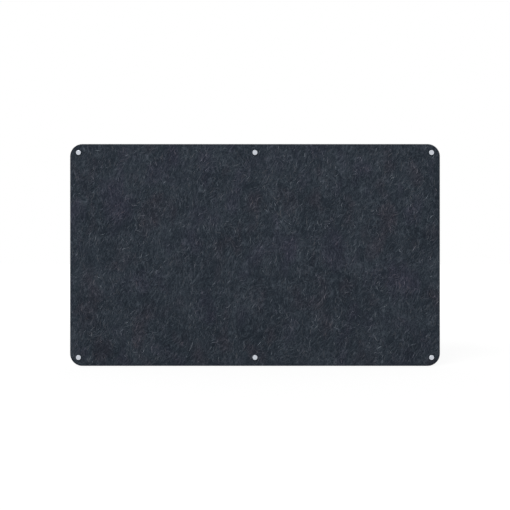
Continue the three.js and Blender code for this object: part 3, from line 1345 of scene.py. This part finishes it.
@dataclass(frozen=True)
class Thread:
    """A cut thread of triangular form, right-handed about the way out from the wall.

    Attributes:
        radius: The radius of the shank that it is cut into.
        pitch: The distance from one turn to the next.
        depth: How deep it is cut.
        steps: How many points follow each turn along the shank.
    """

    radius: float
    pitch: float
    depth: float
    steps: int = 10

    def refined(self, profile: np.ndarray, low: float, high: float) -> np.ndarray:
        """Adds points to the side of a profile that the thread is cut into.

        Args:
            profile: Rows of radius and distance out.
            low: Where the side starts, as a distance out.
            high: Where it ends.

        Returns:
            The profile with the points in their order.
        """
        spans = (profile[:-1, 1] <= low + TOUCH) & (profile[1:, 1] >= high - TOUCH)
        side = int(np.flatnonzero(spans)[0])
        count = round((high - low) / self.pitch * self.steps)
        added = np.linspace(profile[side], profile[side + 1], count + 1)[1:-1]
        return np.insert(profile, side + 1, added, axis=0)

    def cut(self, start: float, finish: float, out: np.ndarray, angle: np.ndarray,
            radius: np.ndarray) -> np.ndarray:
        """Works out how deep the thread is cut: a triangle wave of (out / pitch - angle / a full turn),
        which is a helix. It fades in over half a pitch at each end. It is nothing where the radius isn't
        the shank's, to a quarter of the depth.

        Args:
            start: Where the thread begins, as a distance out from the wall.
            finish: Where it ends.
            out: Distances out.
            angle: Angles round the centre line, anticlockwise as seen from the front.
            radius: The surface's radius there.

        Returns:
            The depths.
        """
        phase = out / self.pitch - angle / TURN
        wave = 1 - np.abs(2 * (phase - np.floor(phase)) - 1)
        fade = np.clip(np.minimum(out - start, finish - out) / (self.pitch / 2), 0, 1)
        on_shank = np.abs(radius - self.radius) < self.depth / 4
        return self.depth * wave * fade * on_shank


@dataclass(frozen=True)
class TurnedPiece:
    """What the turned pieces and the washers share: a profile that is carried round a centre line. Its
    rows are radius and distance out. It starts and ends on the axis, or leads back to its start, round
    a hole.

    Attributes:
        span: The place and outer size of the piece's node.
        sides: How many sides a full turn has.
        edge: How far the softening of an edge reaches.
        edge_steps: How many stretches that has.
    """

    span: NodeSpan
    sides: int = 96
    edge: float = 0.25 * MM
    edge_steps: int = 3

    def softened(self, corners: list[tuple[float, float]]) -> np.ndarray:
        """Softens a profile's corners. Each corner P becomes a curve (1 - t)^2 A + 2 t (1 - t) P + t^2 B,
        whose ends A and B lie an edge's reach away along its two sides, but never past a side's middle.

        Args:
            corners: The profile with sharp corners.

        Returns:
            The softened profile.
        """
        sharp = np.array(corners)
        first, last = [
            sharp + side * np.minimum(self.edge / np.linalg.norm(side, axis=1, keepdims=True), 0.5)
            for side in (np.roll(sharp, 1, 0) - sharp, np.roll(sharp, -1, 0) - sharp)
        ]
        t = np.linspace(0, 1, self.edge_steps + 1)[None, :, None]
        curves = (1 - t) ** 2 * first[:, None] + 2 * t * (1 - t) * sharp[:, None] + t ** 2 * last[:, None]
        if sharp[0, 0] > 0:
            return curves.reshape(-1, 2)
        return np.vstack([sharp[0], curves[1:-1].reshape(-1, 2), sharp[-1]])

    def turned(self, profile: np.ndarray, cut: Cut | None = None) -> Shape:
        """Carries a profile round.

        Args:
            profile: The profile.
            cut: Takes distances out, angles and radii, and returns how much to take off the radius.

        Returns:
            The closed surface, with each point's distance along the profile.
        """
        has_hole = profile[0, 0] > 0
        stretches = np.linalg.norm(np.diff(profile, axis=0), axis=1)
        length = np.concatenate([[0.0], np.cumsum(stretches)])
        rings = slice(None) if has_hole else slice(1, -1)
        angle = np.arange(self.sides) / self.sides * TURN
        radius, out = profile[rings, :1], profile[rings, 1:]
        if cut:
            radius = radius - cut(out, angle, radius)
        grid = around(self.span.centre, radius, angle, out)
        numbers, points, lengths = numbered(grid), grid.reshape(-1, 3), np.repeat(length[rings], self.sides)
        if has_hole:
            faces = [bands(np.vstack([numbers, numbers[0]]))]
        else:
            tips = np.vstack([fan(numbers[0, ::-1], len(points)), fan(numbers[-1], len(points) + 1)])
            faces = [bands(numbers), tips]
            poles = placed(np.tile(self.span.centre, (2, 1)), profile[[0, -1], 1])
            points = np.vstack([points, poles])
            lengths = np.append(lengths, length[[0, -1]])
        return Shape(points, faces, {PROFILE_LENGTH: lengths}).faced_outwards()


@dataclass(frozen=True)
class Cap(TurnedPiece):
    """The cap: a head with a turned chamfer, an undercut, and a threaded stud.

    Attributes:
        chamfer: Width of the chamfer round the head's face.
        head: The head's thickness.
        thread: The stud's thread.
        stud_chamfer: Width of the chamfer at the stud's end.
        neck: The undercut's radius.
        neck_length: Its length.
    """

    chamfer: float = 0.8 * MM
    head: float = 5 * MM
    thread: Thread = Thread(STUD_RADIUS, 1.5 * MM, 0.75 * MM)
    stud_chamfer: float = 1 * MM
    neck: float = 4.1 * MM
    neck_length: float = 2 * MM

    def shape(self) -> Shape:
        """Works out the cap, from the stud's end to the head's face.

        Returns:
            The surface.
        """
        span, stud = self.span, self.thread.radius
        under = span.front - self.head
        neck = under - self.neck_length
        shoulder = neck - (stud - self.neck)
        profile = self.softened([
            (0, span.back),
            (stud - self.stud_chamfer, span.back),
            (stud, span.back + self.stud_chamfer),
            (stud, shoulder),
            (self.neck, neck),
            (self.neck, under),
            (span.radius, under),
            (span.radius, span.front - self.chamfer),
            (span.radius - self.chamfer, span.front),
            (0, span.front),
        ])
        low, high = span.back + self.stud_chamfer + self.edge, shoulder - self.edge
        return self.turned(self.thread.refined(profile, low, high), partial(self.thread.cut, low, high))


@dataclass(frozen=True)
class Barrel(TurnedPiece):
    """The barrel: a post with a recessed foot, a web and a bore.

    Attributes:
        chamfer: Width of the chamfers outside and at the bore's mouth.
        bore: The bore's radius.
        web: How far out from the wall the web begins and ends.
        foot: The radius of the foot's recess.
        screw_hole: The radius of the hole in the web.
    """

    chamfer: float = 0.5 * MM
    bore: float = BORE_RADIUS
    web: tuple[float, float] = (1.3 * MM, 5.3 * MM)
    foot: float = 5.3 * MM
    screw_hole: float = 2.8 * MM

    def shape(self) -> Shape:
        """Works out the barrel, outside from back to front and then inside from front to back.

        Returns:
            The surface.
        """
        span, (web_back, web_front) = self.span, self.web
        return self.turned(self.softened([
            (self.foot, span.back),
            (span.radius - self.chamfer, span.back),
            (span.radius, span.back + self.chamfer),
            (span.radius, span.front - self.chamfer),
            (span.radius - self.chamfer, span.front),
            (self.bore + self.chamfer, span.front),
            (self.bore, span.front - self.chamfer),
            (self.bore, web_front),
            (self.screw_hole, web_front),
            (self.screw_hole, web_back),
            (self.foot, web_back),
        ]))


@dataclass(frozen=True)
class Washer(TurnedPiece):
    """A flat rubber washer.

    Attributes:
        hole: The hole's radius.
        seat: How far its faces keep off what they lie against, so that neither shows through the other.
    """

    hole: float = BORE_RADIUS
    seat: float = 0.02 * MM

    def shape(self) -> Shape:
        """Returns the washer's surface."""
        rim, back, front = self.span.radius, self.span.back + self.seat, self.span.front - self.seat
        return self.turned(self.softened([(self.hole, back), (rim, back), (rim, front), (self.hole, front)]))


@dataclass(frozen=True)
class WallScrew(TurnedPiece):
    """The screw: a crowned head with a cross recess, and a pointed, threaded shank.

    Attributes:
        thread: The shank's thread.
        point: The radius of its blunt point.
        tip: The length over which it tapers.
        head: The head's height.
        rim: The height of its straight rim.
        crown_steps: How many stretches the crown's curve has.
        recess: Width, length and depth of the recess's two slots.
    """

    sides: int = 48
    thread: Thread = Thread(2.5 * MM, 2.2 * MM, 0.6 * MM)
    point: float = 0.3 * MM
    tip: float = 6 * MM
    head: float = 3.2 * MM
    rim: float = 1.4 * MM
    crown_steps: int = 13
    recess: tuple[float, float, float] = (1.3 * MM, 4.6 * MM, 1.8 * MM)

    def shape(self) -> Shape:
        """Works out the screw. The crown is a quarter of an ellipse, and the recess lowers those of its
        points that lie within either of two crossed slots.

        Returns:
            The surface.
        """
        span = self.span
        low, seat = span.back + self.tip, span.front - self.head
        rim = seat + self.rim
        across, rise = towards(np.linspace(0, TURN / 4, self.crown_steps + 1)).T
        crown = np.stack([span.radius * across, rim + (span.front - rim) * rise], 1)
        crown[-1, 0] = 0
        shank = [
            (0, span.back),
            (self.point, span.back),
            (self.thread.radius, low),
            (self.thread.radius, seat),
            (span.radius, seat),
        ]
        profile = self.thread.refined(np.vstack([shank, crown]), low, seat)
        shape = self.turned(profile, partial(self.thread.cut, low, seat - self.thread.pitch))
        width, length, depth = self.recess
        beside = 2 * np.abs(shape.points[:, [0, 2]] - span.centre)
        in_slots = (beside.min(1) < width) & (beside.max(1) < length)
        shape.points[in_slots & (-shape.points[:, 1] > rim), 1] += depth
        return shape


@dataclass(frozen=True)
class WallPlug:
    """The plug: a sleeve with barbed ribs and a collar, whose far end is split into legs.

    Attributes:
        span: The place and outer size of its node.
        radius: The radius over the ribs.
        bore: The bore's radius.
        rib: The ribs' height.
        ribs: How many there are.
        fall: The length over which a rib falls off behind its crest.
        plain: The length of the plain part at the wall's face.
        tip_radius: The radius at the far end.
        tip: The length from there to the first rib.
        collar: How far the collar stands out from the wall.
        slot: Width of the slots between the legs.
        slot_length: Their length.
        legs: How many legs there are.
        leg_steps: Points round each one.
    """

    span: NodeSpan
    radius: float = 4 * MM
    bore: float = 2.7 * MM
    rib: float = 0.5 * MM
    ribs: int = 5
    fall: float = 0.12 * MM
    plain: float = 7 * MM
    tip_radius: float = 3.1 * MM
    tip: float = 4 * MM
    collar: float = 1 * MM
    slot: float = 0.9 * MM
    slot_length: float = 24 * MM
    legs: int = 4
    leg_steps: int = 9

    def rows(self, slot_end: float) -> np.ndarray:
        """Works out the sleeve's outer profile, from its far end to its collar. Each rib rises evenly to
        its crest and falls off behind it.

        Args:
            slot_end: Where the slots end, which gets a row of its own.

        Returns:
            Rows of radius and distance out.
        """
        span = self.span
        root, start = self.radius - self.rib, span.back + self.tip
        pitch = (-self.plain - start) / self.ribs
        crests = start + pitch * np.arange(1, self.ribs + 1)
        feet = crests - pitch + self.fall
        ribs = np.stack([np.full(self.ribs, root), feet, np.full(self.ribs, self.radius), crests], 1)
        rows = np.vstack([
            (self.tip_radius, span.back),
            ribs.reshape(-1, 2),
            (root, self.fall - self.plain),
            (self.radius, self.rib - self.plain),
            (self.radius, -self.fall),
            (span.radius, 0.0),
            (span.radius, self.collar),
        ])
        radius = np.interp(slot_end, rows[:, 1], rows[:, 0])
        return np.insert(rows, np.searchsorted(rows[:, 1], slot_end), (radius, slot_end), axis=0)

    def shape(self) -> Shape:
        """Works out the plug as a grid of rows along the sleeve and columns round it, doubled as an outer
        and an inner skin. Cells in the slots are left out, and walls join the skins where material ends.

        Returns:
            The surface, with flat faces.
        """
        slot_end = self.span.back + self.slot_length
        rows = self.rows(slot_end)
        half_slot, leg_turn = math.asin(self.slot / 2 / self.radius), TURN / self.legs
        leg = np.linspace(half_slot, leg_turn - half_slot, self.leg_steps)
        angle = np.concatenate([leg + leg_turn * k for k in range(self.legs)])
        radii = rows[:, :1], np.full((len(rows), 1), self.bore)
        skins = [around(self.span.centre, radius, angle, rows[:, 1:]) for radius in radii]

        outer = numbered(skins[0])
        inner = numbered(skins[1], outer.size)
        next_outer, next_inner = np.roll(outer, -1, 1), np.roll(inner, -1, 1)
        solid = np.ones((len(rows) - 1, len(angle)), bool)
        in_slot = np.arange(len(angle)) % self.leg_steps == self.leg_steps - 1
        solid[np.ix_(rows[1:, 1] <= slot_end + TOUCH, in_slot)] = False
        skin = np.stack([outer[:-1], next_outer[:-1], next_outer[1:], outer[1:]], -1)[solid]

        # walls where material begins and ends round the sleeve, and then along it
        begins, ends = solid & ~np.roll(solid, 1, 1), solid & ~np.roll(solid, -1, 1)
        padded = np.pad(solid, ((1, 1), (0, 0)))
        opens, closes = padded[1:] & ~padded[:-1], padded[:-1] & ~padded[1:]
        faces = [
            skin,
            skin[:, ::-1] + outer.size,
            np.stack([outer[:-1], outer[1:], inner[1:], inner[:-1]], -1)[begins],
            np.stack([next_outer[1:], next_outer[:-1], next_inner[:-1], next_inner[1:]], -1)[ends],
            np.stack([outer, inner, next_inner, next_outer], -1)[opens],
            np.stack([outer, next_outer, next_inner, inner], -1)[closes],
        ]
        points = np.concatenate(skins).reshape(-1, 3)
        return Shape(points, faces, smooth=False).without_loose_points().faced_outwards()


@dataclass(frozen=True)
class Fixing:
    """One stand-off fixing, from the wall outwards: plug, screw, barrel, two washers and a cap.

    Attributes:
        place: Its name, such as top_left.
        materials: The material for each slot.
    """

    place: str
    materials: dict[Slot, Material]

    def build(self) -> None:
        """Makes and dresses all six pieces. A node that moves has a body with its own name."""
        for name, kind, piece, slot in (
            ("moulded_plug", "wall_plug", WallPlug, Slot.NYLON),
            ("threaded_screw", "wall_screw", WallScrew, Slot.STEEL),
            ("turned_barrel", "standoff_barrel", Barrel, Slot.ALUMINIUM),
            ("rubber_rear_washer", "rear_washer", Washer, Slot.RUBBER),
            ("rubber_front_washer", "front_washer", Washer, Slot.RUBBER),
            ("turned_cap", "cap", Cap, Slot.ALUMINIUM),
        ):
            node = f"{kind}_{self.place}"
            body = node if node in frame["bodies"] else BOARD_BODY
            shape = piece(NodeSpan.of(node)).shape()
            add_piece(f"{name}_{self.place}", shape, self.materials[slot], body, node)


@dataclass(frozen=True)
class Studio:
    """A plain pale floor, a white surround, a soft light from the upper left and the camera.

    Attributes:
        board: The place and outer size of the felt's node.
        lens: The camera's focal length, in millimetres.
        sensor: The width of its sensor, in millimetres.
        frame_width: How much of the board's plane fits across the picture.
        fill: The level of the light that comes evenly from all round.
        key: The level that the lamp adds on the board.
        lamp_from: Where the lamp is.
        lamp_size: Its width and height.
        floor_gap: How far the floor lies under the board.
        floor_size: How wide the floor is.
        floor_colour: The floor's own colour, by which it lights the board.
        shade: The colour with which it catches the lamp and the board's shadow where it is seen.
        glow: What it glows with besides, near the board and far from it.
        glow_reach: The distances from the board's middle between which that changes.
    """

    board: NodeSpan
    lens: float = 50.0
    sensor: float = 36.0
    frame_width: float = 2068.4 * MM
    fill: float = 0.62
    key: float = 0.315
    lamp_from: tuple[float, float, float] = (-6.2, -9.6, 11.6)
    lamp_size: float = 6.4
    floor_gap: float = 0.5 * MM
    floor_size: float = 60.0
    floor_colour: str = "e6e6e6"
    shade: str = "616161"
    glow: tuple[float, float] = (0.895, 1.0)
    glow_reach: tuple[float, float] = (1.2, 3.6)

    def build(self) -> None:
        """Makes the whole studio."""
        self.add_camera()
        self.add_surround()
        self.add_floor()
        self.add_lamp()
        bpy.context.scene.view_settings.view_transform = "Standard"
        log.info("studio: camera, surround, floor and lamp")

    def add_camera(self) -> None:
        """Adds the camera, square to the board's middle, as far off as the lens needs."""
        data = bpy.data.cameras.new("camera")
        data.lens, data.sensor_width = self.lens, self.sensor
        camera = bpy.data.objects.new("camera", data)
        camera.location = (0, -(self.board.front + self.frame_width * self.lens / self.sensor), 0)
        camera.rotation_euler = (TURN / 4, 0, 0)
        bpy.context.scene.collection.objects.link(camera)
        bpy.context.scene.camera = camera

    def seen_directly(self, tree: Tree) -> Source:
        """Tells rays that show the surround itself from those that light something.

        Args:
            tree: The nodes of the world or the floor.

        Returns:
            1 for rays from the camera, off metal or through glass, and 0 for others.
        """
        path = add_node(tree, "LightPath").outputs
        seen, glossy, through = [path[f"Is {kind} Ray"] for kind in ("Camera", "Glossy", "Transmission")]
        either = add_node(tree, "Math", {"operation": "MAXIMUM", 0: seen, 1: glossy})
        return add_node(tree, "Math", {"operation": "MAXIMUM", 0: either, 1: through})

    def add_surround(self) -> None:
        """Sets the world: white where it is seen, and the fill light's level elsewhere."""
        world = bpy.data.worlds.new("surround")
        bpy.context.scene.world = world
        tree = emptied_tree(world)
        level = add_node(tree, "MapRange", {"To Min": self.fill, "Value": self.seen_directly(tree)})
        light = add_node(tree, "Background", {"Color": linear(WHITE), "Strength": level})
        add_node(tree, "OutputWorld", {"Surface": light})

    def floor_paint(self) -> Material:
        """Builds the floor's material: a plain pale paint that lights the board, and a nearly white one
        where it is seen, which keeps a faint share of the board's shadow.

        Returns:
            The material.
        """
        made = bpy.data.materials.new("white_paint")
        tree = emptied_tree(made)
        plain = add_node(tree, "BsdfDiffuse", {"Color": linear(self.floor_colour)})
        faint = add_node(tree, "BsdfDiffuse", {"Color": linear(self.shade)})
        place = add_node(tree, "TexCoord").outputs["Object"]
        away = add_node(tree, "VectorMath", {"operation": "LENGTH", 0: place}).outputs["Value"]
        (near, far), (low, high) = self.glow_reach, self.glow
        level = add_node(tree, "MapRange", {
            "From Min": near, "From Max": far, "To Min": low, "To Max": high, "Value": away,
        })
        glow = add_node(tree, "Emission", {"Color": linear(WHITE), "Strength": level})
        shown = add_node(tree, "AddShader", {0: faint, 1: glow})
        mixed = add_node(tree, "MixShader", {"Fac": self.seen_directly(tree), 1: plain, 2: shown})
        add_node(tree, "OutputMaterial", {"Surface": mixed})
        return made

    def add_floor(self) -> None:
        """Adds the floor."""
        height = -self.board.half[1] - self.floor_gap
        signs = np.array([(-1, -1), (1, -1), (1, 1), (-1, 1)])
        corners = np.insert(signs * self.floor_size / 2, 2, height, axis=1)
        floor = bpy.data.objects.new("floor", Shape(corners, [np.array([[0, 1, 2, 3]])]).mesh("floor"))
        bpy.context.scene.collection.objects.link(floor)
        floor.data.materials.append(self.floor_paint())

    def add_lamp(self) -> None:
        """Adds the lamp, aimed at the middle of the board's face. A square lamp of power P at distance d
        lights a matt surface at the level P / (pi d)^2, times the cosine of the slant."""
        data = bpy.data.lights.new("soft_box", "AREA")
        data.shape, data.size = "SQUARE", self.lamp_size
        lamp = bpy.data.objects.new("soft_box", data)
        lamp.location = self.lamp_from
        way = Vector((0, -self.board.front, 0)) - Vector(self.lamp_from)
        lamp.rotation_euler = way.to_track_quat("-Z", "Y").to_euler()
        slant = way.normalized().y
        data.energy = self.key * (math.pi * way.length) ** 2 / slant
        bpy.context.scene.collection.objects.link(lamp)


def main() -> None:
    """Builds the studio, the felt board and the fixings."""
    logging.basicConfig(level=logging.INFO, format="%(name)s: %(message)s")
    board = NodeSpan.of(FELT_NODE)
    Studio(board).build()

    places = sorted(name.removeprefix("cap_") for name in frame["nodes"] if name.startswith("cap_"))
    fixings = np.array([NodeSpan.of(f"cap_{place}").centre for place in places])
    FeltBoard(FeltSurface(board, fixings)).build()

    materials = {
        # a clear oxide coat over fine turning: cool, pale and satin
        Slot.ALUMINIUM: TurnedMetal("satin_anodised_aluminium", "c9cdd4", "c1c6ce", 0.28).material(),
        # a thin plated coat, bluish in places and duller than the bare metal
        Slot.STEEL: TurnedMetal("zinc_plated_steel", "b9bcbd", "a9b0b6", 0.42).material(),
        # soft and nearly black, with hardly a highlight
        Slot.RUBBER: MouldedPolymer("moulded_black_rubber", "161718", "1d1e20", 0.8).material(),
        # pale and even, with the dull gloss of a plain plastic
        Slot.NYLON: MouldedPolymer("moulded_grey_nylon", "9b9ea0", "8f9295", 0.55).material(),
    }
    for place in places:
        Fixing(place, materials).build()


if __name__ == "__main__":
    main()
